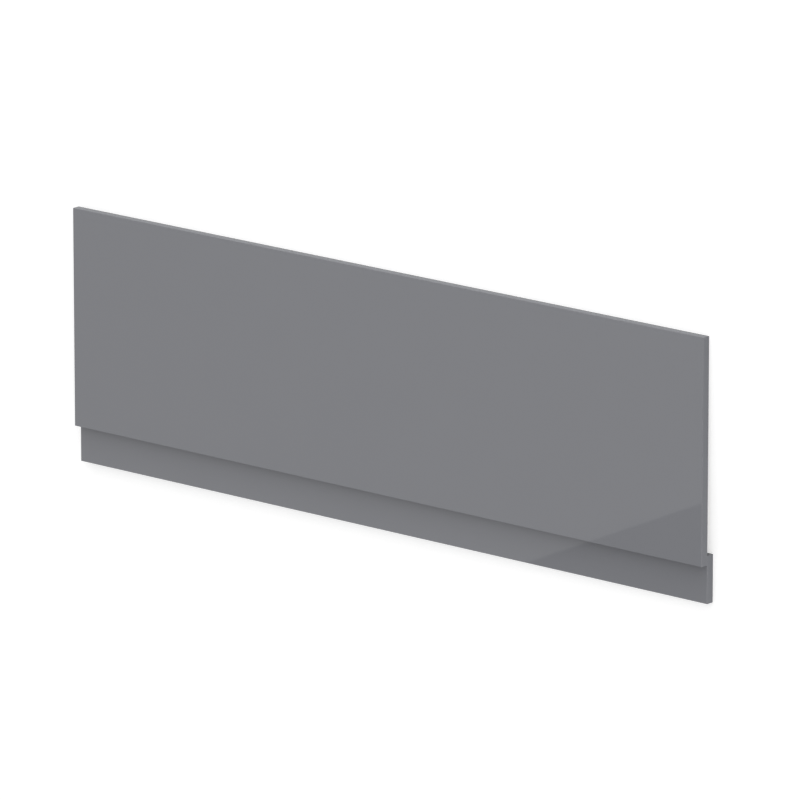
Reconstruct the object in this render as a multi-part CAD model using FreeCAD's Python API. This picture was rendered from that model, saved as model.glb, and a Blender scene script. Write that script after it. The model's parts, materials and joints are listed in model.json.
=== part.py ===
"""Bath front panel: a gloss-faced board with a recessed plinth board screwed to its back.

The two boards are drawn in the panel's own plane. X runs along the bath, Y runs up the panel from
its lower edge, and Z comes out of the gloss face, with Z = 0 where the plinth lies against the
panel's back. The screwed pair is then laid on its back on a level floor, gloss face up.
"""

import FreeCAD
import Part
import math
import os

# Boards, in millimetres
LENGTH = 1700.0
PANEL_HEIGHT = 470.0
PANEL_THICKNESS = 18.0
PLINTH_DROP = 80.0
PLINTH_LAP = 20.0
PLINTH_THICKNESS = 18.0
EDGE_RADIUS = 1.0

# One row of countersunk screws, driven from the plinth's back into the panel
SCREW_COUNT = 5
SCREW_END_DISTANCE = 50.0
SCREW_HOLE_DIAMETER = 4.5
COUNTERSINK_DEPTH = 2.0
COUNTERSINK_ANGLE = 90.0
PILOT_DIAMETER = 3.0
PILOT_DEPTH = 12.0

# The screws stand half way up the strip where the two boards lap
SCREW_ROW = PLINTH_LAP / 2
SCREW_PITCH = (LENGTH - 2 * SCREW_END_DISTANCE) / (SCREW_COUNT - 1)

# On its back the pair rests on the panel's top edge and the plinth's upper edge
REST_TILT = math.degrees(math.atan2(PLINTH_THICKNESS, PANEL_HEIGHT - PLINTH_LAP))

ALONG = FreeCAD.Vector(1, 0, 0)
UP_PANEL = FreeCAD.Vector(0, 1, 0)
OUT_OF_FACE = FreeCAD.Vector(0, 0, 1)


def wrapped_board(lower_edge, upper_edge, back, thickness):
    """A full-length board, cut square at the back and rounded all round its front face."""
    corner = ALONG * (-LENGTH / 2) + UP_PANEL * lower_edge + OUT_OF_FACE * back
    board = Part.makeBox(LENGTH, upper_edge - lower_edge, thickness, corner)
    front_face = max(board.Faces, key=lambda face: face.CenterOfMass.z)
    return board.makeFillet(EDGE_RADIUS, front_face.Edges)


def screw_places():
    """Where each screw's axis crosses the plane between the two boards."""
    first = ALONG * (SCREW_END_DISTANCE - LENGTH / 2) + UP_PANEL * SCREW_ROW
    return [first + ALONG * (SCREW_PITCH * number) for number in range(SCREW_COUNT)]


def countersunk_hole(place):
    """A clearance hole through the plinth, with the seat of the screw's head in the plinth's back."""
    mouth = place - OUT_OF_FACE * PLINTH_THICKNESS
    hole_radius = SCREW_HOLE_DIAMETER / 2
    mouth_radius = hole_radius + COUNTERSINK_DEPTH * math.tan(math.radians(COUNTERSINK_ANGLE / 2))
    seat = Part.makeCone(mouth_radius, hole_radius, COUNTERSINK_DEPTH, mouth, OUT_OF_FACE)
    shank = Part.makeCylinder(hole_radius, PLINTH_THICKNESS, mouth, OUT_OF_FACE)
    return seat.fuse(shank)


def pilot_hole(place):
    """A blind hole in the panel's back for the screw's thread."""
    return Part.makeCylinder(PILOT_DIAMETER / 2, PILOT_DEPTH, place, OUT_OF_FACE)


def front_panel():
    """The gloss board that shows, with a pilot hole for each screw in its back."""
    board = wrapped_board(0, PANEL_HEIGHT, 0, PANEL_THICKNESS)
    return board.cut([pilot_hole(place) for place in screw_places()])


def plinth():
    """The lower board behind the panel, which shows below it and laps up its back."""
    board = wrapped_board(-PLINTH_DROP, PLINTH_LAP, -PLINTH_THICKNESS, PLINTH_THICKNESS)
    return board.cut([countersunk_hole(place) for place in screw_places()])


def lay_on_back(boards):
    """Tip the boards back until both resting edges touch the floor, with the origin under the middle."""
    for board in boards:
        board.rotate(FreeCAD.Vector(), ALONG, -REST_TILT)
    box = Part.makeCompound(boards).optimalBoundingBox(False, False)
    to_origin = FreeCAD.Vector(-box.Center.x, -box.Center.y, -box.ZMin)
    for board in boards:
        board.translate(to_origin)


def main():
    """Build both boards, lay them down and write one file for each."""
    pieces = {"front_panel": front_panel(), "plinth": plinth()}
    lay_on_back(list(pieces.values()))
    os.makedirs("parts", exist_ok=True)
    for name, shape in pieces.items():
        shape.exportStep(os.path.join("parts", name + ".step"))


main()
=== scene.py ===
import bmesh
import bpy
import json
import math
from mathutils import Matrix, Vector


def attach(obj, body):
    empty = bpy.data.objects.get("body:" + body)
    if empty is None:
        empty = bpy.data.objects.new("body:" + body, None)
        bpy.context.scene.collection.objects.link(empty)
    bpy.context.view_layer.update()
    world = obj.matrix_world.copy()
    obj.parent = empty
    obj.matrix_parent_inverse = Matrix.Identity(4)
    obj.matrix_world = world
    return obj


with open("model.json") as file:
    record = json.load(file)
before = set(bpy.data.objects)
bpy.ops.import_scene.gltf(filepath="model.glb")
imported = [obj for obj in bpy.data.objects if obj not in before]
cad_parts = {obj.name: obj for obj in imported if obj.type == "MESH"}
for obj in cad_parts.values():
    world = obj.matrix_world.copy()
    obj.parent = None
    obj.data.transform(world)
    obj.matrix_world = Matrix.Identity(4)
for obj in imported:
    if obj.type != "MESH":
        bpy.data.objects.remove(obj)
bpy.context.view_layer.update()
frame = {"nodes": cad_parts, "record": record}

# The boards' own directions, read from their mounts: up the panel, out of its gloss face, along it
mounts = {mount["name"]: mount for mount in frame["record"]["mounts"]}
UP_PANEL = Vector(mounts["top_edge"]["axis"]).normalized()
OUT_OF_FACE = -Vector(mounts["plinth_back"]["axis"]).normalized()
ALONG = UP_PANEL.cross(OUT_OF_FACE)


def reach(node, direction):
    """How far a board's corners reach along a direction: (least, most), in metres."""
    distances = [vertex.co.dot(direction) for vertex in frame["nodes"][node].data.vertices]
    return min(distances), max(distances)


PANEL_LOW = reach("front_panel", UP_PANEL)[0]
PANEL_FACE = reach("front_panel", OUT_OF_FACE)[1]
PLINTH_FOOT, PLINTH_HIGH = reach("plinth", UP_PANEL)
PLINTH_BACK = reach("plinth", OUT_OF_FACE)[0]
LEFT_END, RIGHT_END = reach("plinth", ALONG)

# Viewing angle of the photograph, measured from the panel's own directions
VIEW_TURN = math.radians(41.065)
VIEW_RISE = math.radians(14.431)
VIEW_DISTANCE = 19.045
LENS = 421.4
AIM_RIGHT_OF_MIDDLE = 0.0561
AIM_ABOVE_FOOT = 0.2889

# Grey gloss foil on the face and edges, with a faint mottle, patches that are polished more or
# less, and orange peel in its surface; each noise is the size of its features and its octaves
FOIL_DARK = (0.1755, 0.1795, 0.1950, 1)
FOIL_LIGHT = (0.1805, 0.1845, 0.2000, 1)
FOIL_ROUGHNESS = (0.008, 0.022)
MOTTLE = (0.11, 4)
POLISH = (0.20, 6)
PEEL = (0.006, 1)

# Matt melamine paper, with its fibres, on whatever faces backward within 60 degrees
PAPER_DARK = (0.62, 0.62, 0.60, 1)
PAPER_LIGHT = (0.70, 0.70, 0.68, 1)
PAPER_ROUGHNESS = 0.55
PAPER_WITHIN = math.cos(math.radians(60))
FIBRE = (0.0011, 3)

# Depth of the peel and the fibres, and how much of it shows
RELIEF_DEPTH = 0.000002
RELIEF_STRENGTH = 0.25

# Bright zinc plate on the screws, a little cloudy
ZINC_DARK = (0.52, 0.53, 0.54, 1)
ZINC_LIGHT = (0.68, 0.68, 0.67, 1)
ZINC_ROUGHNESS = (0.22, 0.38)
CLOUD = (0.0014, 5)

# Wood screws: one row half way up the strip where the boards lap, heads just under the plinth's back
SCREW_COUNT = 5
SCREW_END_DISTANCE = 0.050
SCREW_ROW = (PANEL_LOW + PLINTH_HIGH) / 2
SCREW_SUNK = 0.00013
SCREW_TURN = math.radians(137)

# One screw: its head, shank and tip, then its thread, then the cross recess in its head
SCREW_LENGTH = 0.029
HEAD_RADIUS = 0.0040
HEAD_RIM = 0.0001
SHANK_RADIUS = 0.0014
TIP_LENGTH = 0.004
TIP_RADIUS = 0.00014
THREAD_RADIUS = 0.0020
THREAD_ROOT = 0.00126
THREAD_PITCH = 0.0018
THREAD_HALF_WIDTH = 0.00036
THREAD_TURNS = 8
RUN_OUT_TURNS = 2
RECESS_REACH = 0.0022
RECESS_WIDTH = 0.0011
RECESS_DEPTH = 0.0018
RECESS_TAPER = 0.5

# How finely round things are made, and the angle from which an edge is shaded as sharp
SEGMENTS = 48
THREAD_SEGMENTS = 24
SHARP_ABOVE = math.radians(35)

# Floor and surround, in units of radiance: the camera sees both as white where nothing shades them,
# and the gloss mirrors a small share of that white, so that the boards' edges keep their tone
WHITE = (1, 1, 1, 1)
FLOOR_RADIUS = 120.0
FLOOR_COLOUR = (0.65, 0.65, 0.65, 1)
FLOOR_ROUGHNESS = 0.9
FLOOR_LIFT = 0.50
MIRRORED_SHARE = 0.1
SURROUND = 0.51
BRIGHT_SIDE = 1.6
BRIGHT_SIDE_FROM = Vector((0.42, 0.80, 0.32)).normalized()
BRIGHT_SIDE_FOCUS = 3.0

# Fill softboxes round the part: place, width and height, radiance
FILL_SOFTBOXES = {
    "right_softbox": (Vector((3.0, -0.6, 0.8)), (1.2, 1.5), 2.0),
    "front_softbox": (Vector((0.3, -3.2, 0.8)), (2.0, 1.2), 2.0),
    "back_softbox": (Vector((0.1, 3.2, 0.8)), (2.0, 1.0), 4.2),
}

# Standing softboxes, each with an upright edge that the gloss face mirrors at a chosen place, given
# right of the middle and above the foot; the photograph shows the key's edge, which leans a little,
# and the other two are seen from an azimuth and elevation in degrees
STANDING_DISTANCE = 3.5
STANDING_RADIANCE = 0.52
KEY_SIZE = (1.6, 3.4)
KEY_EDGE = (0.717, 0.152)
KEY_LEAN = math.radians(0.9)
SIDE_SIZE = (1.6, 1.6)
BACK_LEFT_EDGE = (0.25, 0.28)
BACK_LEFT_SEEN_FROM = (45, 25)
FRONT_RIGHT_EDGE = (-0.25, 0.28)
FRONT_RIGHT_SEEN_FROM = (225, 15)


def on_face(right, above_foot):
    """A point in the plane of the gloss face, right of the part's middle and above the plinth's foot."""
    return ALONG * right + UP_PANEL * (PLINTH_FOOT + above_foot) + OUT_OF_FACE * PANEL_FACE


def turned_to(side, upright, outward):
    """The turn that brings X, Y and Z to three directions."""
    return Matrix((side, upright, outward)).transposed().to_4x4()


def link(obj):
    """Put a new object in the scene."""
    bpy.context.scene.collection.objects.link(obj)
    return obj


# Materials
class Shading:
    """The nodes of one material or world, added and joined by short calls."""

    def __init__(self, owner):
        owner.use_nodes = True
        self.nodes = owner.node_tree.nodes
        self.join = owner.node_tree.links.new

    def feed(self, node, inputs):
        """Fill a node's inputs: another node's output is joined to it, and a plain value is written."""
        for socket, value in inputs.items():
            if isinstance(value, bpy.types.NodeSocket):
                self.join(value, node.inputs[socket])
            else:
                node.inputs[socket].default_value = value

    def add(self, kind, inputs, **settings):
        """A new node with its inputs and settings."""
        node = self.nodes.new("ShaderNode" + kind)
        for name, value in settings.items():
            setattr(node, name, value)
        self.feed(node, inputs)
        return node

    def along(self, coordinate, direction):
        """How far a coordinate of the surface or the sky points along a direction."""
        inputs = {0: self.add("TexCoord", {}).outputs[coordinate], 1: direction}
        return self.add("VectorMath", inputs, operation="DOT_PRODUCT").outputs["Value"]

    def noise(self, size, octaves):
        """Soft noise that is fixed to the object."""
        vector = self.add("TexCoord", {}).outputs["Object"]
        inputs = {"Vector": vector, "Scale": 1 / size, "Detail": octaves}
        return self.add("TexNoise", inputs).outputs["Fac"]

    def maths(self, operation, *values):
        """One operation on two or three values."""
        return self.add("Math", dict(enumerate(values)), operation=operation).outputs["Value"]

    def between(self, value, low, high):
        """A value from 0 to 1 spread over a range."""
        inputs = {"Value": value, "To Min": low, "To Max": high}
        return self.add("MapRange", inputs).outputs["Result"]

    def tone(self, value, dark, light):
        """A colour between a dark and a light one."""
        ramp = self.add("ValToRGB", {"Fac": value})
        for element, colour in zip(ramp.color_ramp.elements, (dark, light)):
            element.color = colour
        return ramp.outputs["Color"]

    def either(self, kind, factor, first, second):
        """The first of two numbers or colours where the factor is 0, and the second where it is 1."""
        inputs = {"Factor": factor, "A": first, "B": second}
        return self.add("Mix", inputs, data_type=kind).outputs["Result"]

    def white_share(self):
        """1 for what the camera sees, straight or through glass, and a share of that in a mirror."""
        ray = self.add("LightPath", {}).outputs
        straight = self.maths("MAXIMUM", ray["Is Camera Ray"], ray["Is Transmission Ray"])
        return self.maths("MULTIPLY_ADD", ray["Is Glossy Ray"], MIRRORED_SHARE, straight)


def new_material(name, build):
    """A material whose shader gets the inputs that a function builds for it."""
    material = bpy.data.materials.new(name)
    shading = Shading(material)
    shading.feed(shading.nodes["Principled BSDF"], build(shading))
    return material


def gloss_board(shading):
    """Grey gloss foil on the face and edges, plain matt melamine paper on the back."""
    is_back = shading.maths("GREATER_THAN", shading.along("Normal", -OUT_OF_FACE), PAPER_WITHIN)
    fibre = shading.noise(*FIBRE)
    foil = shading.tone(shading.noise(*MOTTLE), FOIL_DARK, FOIL_LIGHT)
    paper = shading.tone(fibre, PAPER_DARK, PAPER_LIGHT)
    polish = shading.between(shading.noise(*POLISH), *FOIL_ROUGHNESS)
    relief = shading.add("Bump", {
        "Height": shading.either("FLOAT", is_back, shading.noise(*PEEL), fibre),
        "Strength": RELIEF_STRENGTH,
        "Distance": RELIEF_DEPTH,
    })
    return {
        "Base Color": shading.either("RGBA", is_back, foil, paper),
        "Roughness": shading.either("FLOAT", is_back, polish, PAPER_ROUGHNESS),
        "Normal": relief.outputs["Normal"],
    }


def zinc(shading):
    """Bright zinc plate, a little uneven in tone and polish."""
    cloud = shading.noise(*CLOUD)
    return {
        "Metallic": 1.0,
        "Base Color": shading.tone(cloud, ZINC_DARK, ZINC_LIGHT),
        "Roughness": shading.between(cloud, *ZINC_ROUGHNESS),
    }


def white_floor(shading):
    """A pale studio floor that shows white to the camera where nothing shades it."""
    return {
        "Base Color": FLOOR_COLOUR,
        "Roughness": FLOOR_ROUGHNESS,
        "Specular IOR Level": 0.0,
        "Emission Color": WHITE,
        "Emission Strength": shading.maths("MULTIPLY", shading.white_share(), FLOOR_LIFT),
    }


def finish_boards():
    """Give both boards the gloss board's finish."""
    material = new_material("gloss_grey_board", gloss_board)
    for node in ("front_panel", "plinth"):
        for slot in frame["nodes"][node].material_slots:
            slot.material = material


# Screws
def circle(radius, depth):
    """Points round the screw's axis at one depth below the top of its head."""
    angles = [2 * math.pi * step / SEGMENTS for step in range(SEGMENTS)]
    return [(radius * math.cos(angle), radius * math.sin(angle), depth) for angle in angles]


def cross(size, depth):
    """The outline of the cross recess at one depth, its size given as a share of the mouth's."""
    arm_end = RECESS_REACH * size
    half = RECESS_WIDTH * size / 2
    arm = [(arm_end, -half), (arm_end, half), (half, half)]
    points = []
    for quarter in range(4):
        turn = Matrix.Rotation(quarter * math.pi / 2, 2)
        points += [(*(turn @ Vector(point)), depth) for point in arm]
    return points


def ring(shape, points):
    """New corners, one for each point."""
    return [shape.verts.new(point) for point in points]


def skin(shape, lower, upper):
    """A band of faces between two rings with as many corners."""
    for step in range(len(lower)):
        ahead = (step + 1) % len(lower)
        shape.faces.new((lower[step], lower[ahead], upper[ahead], upper[step]))


def loop_edges(shape, corners):
    """The edges that close a ring."""
    pairs = zip(corners, corners[1:] + corners[:1])
    return [shape.edges.get(pair) or shape.edges.new(pair) for pair in pairs]


def cut_thread(shape):
    """A three-sided ridge that winds round the shank and runs out at both ends."""
    last = None
    for step in range(THREAD_TURNS * THREAD_SEGMENTS + 1):
        turns_done = step / THREAD_SEGMENTS
        turns_left = THREAD_TURNS - turns_done
        angle = 2 * math.pi * turns_done
        depth = SCREW_LENGTH - TIP_LENGTH - THREAD_PITCH * turns_left
        run_out = min(1, turns_done / RUN_OUT_TURNS, turns_left / RUN_OUT_TURNS)
        crest = SHANK_RADIUS + (THREAD_RADIUS - SHANK_RADIUS) * run_out
        section = [(THREAD_ROOT, -THREAD_HALF_WIDTH), (crest, 0), (THREAD_ROOT, THREAD_HALF_WIDTH)]
        corners = ring(shape, [
            (radius * math.cos(angle), radius * math.sin(angle), depth + rise)
            for radius, rise in section
        ])
        if last:
            skin(shape, last, corners)
        else:
            shape.faces.new(corners)
        last = corners
    shape.faces.new(last)


def turn_body(shape):
    """The head, shank and tip, turned round the screw's axis; gives the rim of the head's top."""
    profile = [
        (HEAD_RADIUS, 0),
        (HEAD_RADIUS, HEAD_RIM),
        (SHANK_RADIUS, HEAD_RIM + HEAD_RADIUS - SHANK_RADIUS),
        (SHANK_RADIUS, SCREW_LENGTH - TIP_LENGTH),
        (TIP_RADIUS, SCREW_LENGTH),
    ]
    rings = [ring(shape, circle(radius, depth)) for radius, depth in profile]
    for lower, upper in zip(rings, rings[1:]):
        skin(shape, lower, upper)
    shape.faces.new(rings[-1])
    return rings[0]


def sink_recess(shape, rim):
    """The cross recess, and the flat top of the head between it and the rim."""
    mouth = ring(shape, cross(1, 0))
    bottom = ring(shape, cross(RECESS_TAPER, RECESS_DEPTH))
    skin(shape, mouth, bottom)
    shape.faces.new(bottom)
    edges = loop_edges(shape, rim) + loop_edges(shape, mouth)
    bmesh.ops.triangle_fill(shape, use_beauty=True, edges=edges)


def screw_mesh():
    """A countersunk wood screw with a cross recess; its axis is Z, from the head's top down."""
    shape = bmesh.new()
    sink_recess(shape, turn_body(shape))
    cut_thread(shape)
    bmesh.ops.recalc_face_normals(shape, faces=shape.faces)
    for face in shape.faces:
        face.smooth = True
    for edge in shape.edges:
        edge.smooth = edge.calc_face_angle(math.pi) < SHARP_ABOVE
    mesh = bpy.data.meshes.new("screw")
    shape.to_mesh(mesh)
    shape.free()
    mesh.materials.append(new_material("zinc_screw", zinc))
    return mesh


def drive_screws():
    """The row of screws in the plinth's back, each stopped at its own turn."""
    mesh = screw_mesh()
    axes = turned_to(ALONG, OUT_OF_FACE.cross(ALONG), OUT_OF_FACE)
    pitch = (RIGHT_END - LEFT_END - 2 * SCREW_END_DISTANCE) / (SCREW_COUNT - 1)
    for number in range(SCREW_COUNT):
        place = (
            ALONG * (LEFT_END + SCREW_END_DISTANCE + pitch * number)
            + UP_PANEL * SCREW_ROW
            + OUT_OF_FACE * (PLINTH_BACK + SCREW_SUNK)
        )
        screw = link(bpy.data.objects.new(f"screw_{number + 1}", mesh))
        stopped = Matrix.Rotation(number * SCREW_TURN, 4, "Z")
        screw.matrix_world = Matrix.Translation(place) @ axes @ stopped
        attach(screw, "root")


# Studio
def build_floor():
    """A wide level floor under the part."""
    mesh = bpy.data.meshes.new("floor")
    shape = bmesh.new()
    bmesh.ops.create_circle(shape, cap_ends=True, segments=SEGMENTS, radius=FLOOR_RADIUS)
    shape.to_mesh(mesh)
    shape.free()
    mesh.materials.append(new_material("studio_floor", white_floor))
    link(bpy.data.objects.new("floor", mesh))


def light_surround():
    """An even surround, brighter on one side, which the camera itself sees as white."""
    world = bpy.data.worlds.new("studio")
    shading = Shading(world)
    facing = shading.maths("MAXIMUM", shading.along("Generated", BRIGHT_SIDE_FROM), 0.0)
    focus = shading.maths("POWER", facing, BRIGHT_SIDE_FOCUS)
    glow = shading.between(focus, SURROUND, SURROUND + BRIGHT_SIDE)
    shading.feed(shading.nodes["Background"], {
        "Color": WHITE,
        "Strength": shading.either("FLOAT", shading.white_share(), glow, 1.0),
    })
    bpy.context.scene.world = world


def hang_softbox(name, centre, away, upright, size, radiance):
    """A softbox whose back looks away from the part, with its height along the upright."""
    width, height = size
    light = bpy.data.lights.new(name, "AREA")
    light.shape = "RECTANGLE"
    light.size = width
    light.size_y = height
    light.energy = radiance * math.pi * width * height
    lamp = link(bpy.data.objects.new(name, light))
    lamp.matrix_world = Matrix.Translation(centre) @ turned_to(upright.cross(away), upright, away)
    lamp.visible_camera = False


def level(direction):
    """A direction laid into the plane of the gloss face."""
    return (direction - OUT_OF_FACE * direction.dot(OUT_OF_FACE)).normalized()


def eye_at(azimuth, elevation):
    """A far place to look from: azimuth 0 looks up the panel, 90 looks along it from the right."""
    turn = math.radians(azimuth)
    rise = math.radians(elevation)
    direction = Vector((
        math.sin(turn) * math.cos(rise),
        -math.cos(turn) * math.cos(rise),
        math.sin(rise),
    ))
    return direction * VIEW_DISTANCE


def mirrored(eye, right, above_foot):
    """A place on the gloss face, and the way an eye's line of sight goes on from there."""
    touch = on_face(right, above_foot)
    return touch, (touch - eye).reflect(OUT_OF_FACE)


def stand_softbox(name, eye, edge_place, size, lean=0.0):
    """A softbox with one upright edge where an eye sees it mirrored at a place on the gloss face."""
    touch, ray = mirrored(eye, *edge_place)
    away = level(ray)
    upright = Matrix.Rotation(lean, 3, away) @ OUT_OF_FACE
    edge = touch + ray * (STANDING_DISTANCE / ray.dot(away))
    middle, middle_ray = mirrored(eye, 0, AIM_ABOVE_FOOT)
    middle += middle_ray * ((edge - middle).dot(away) / middle_ray.dot(away))
    half_width = upright.cross(away) * (size[0] / 2)
    centre = edge - half_width + upright * (middle - edge).dot(upright)
    hang_softbox(name, centre, away, upright, size, STANDING_RADIANCE)


def place_camera():
    """The photograph's view, which looks down on the panel as it lies on the floor; gives its place."""
    back = (
        ALONG * (math.sin(VIEW_TURN) * math.cos(VIEW_RISE))
        + UP_PANEL * math.sin(VIEW_RISE)
        + OUT_OF_FACE * (math.cos(VIEW_TURN) * math.cos(VIEW_RISE))
    )
    right = UP_PANEL.cross(back).normalized()
    lens = bpy.data.cameras.new("camera")
    lens.lens = LENS
    lens.clip_end = FLOOR_RADIUS
    camera = link(bpy.data.objects.new("camera", lens))
    place = on_face(AIM_RIGHT_OF_MIDDLE, AIM_ABOVE_FOOT) + back * VIEW_DISTANCE
    camera.matrix_world = Matrix.Translation(place) @ turned_to(right, back.cross(right), back)
    bpy.context.scene.camera = camera
    return place


def light_part(camera_place):
    """Hang the fill softboxes and stand those that the gloss face mirrors."""
    for name, (place, size, radiance) in FILL_SOFTBOXES.items():
        hang_softbox(name, place, level(place), OUT_OF_FACE, size, radiance)
    stand_softbox("key_softbox", camera_place, KEY_EDGE, KEY_SIZE, KEY_LEAN)
    stand_softbox("back_left_softbox", eye_at(*BACK_LEFT_SEEN_FROM), BACK_LEFT_EDGE, SIDE_SIZE)
    stand_softbox("front_right_softbox", eye_at(*FRONT_RIGHT_SEEN_FROM), FRONT_RIGHT_EDGE, SIDE_SIZE)


bpy.context.scene.view_settings.view_transform = "Standard"
finish_boards()
drive_screws()
build_floor()
light_surround()
light_part(place_camera())
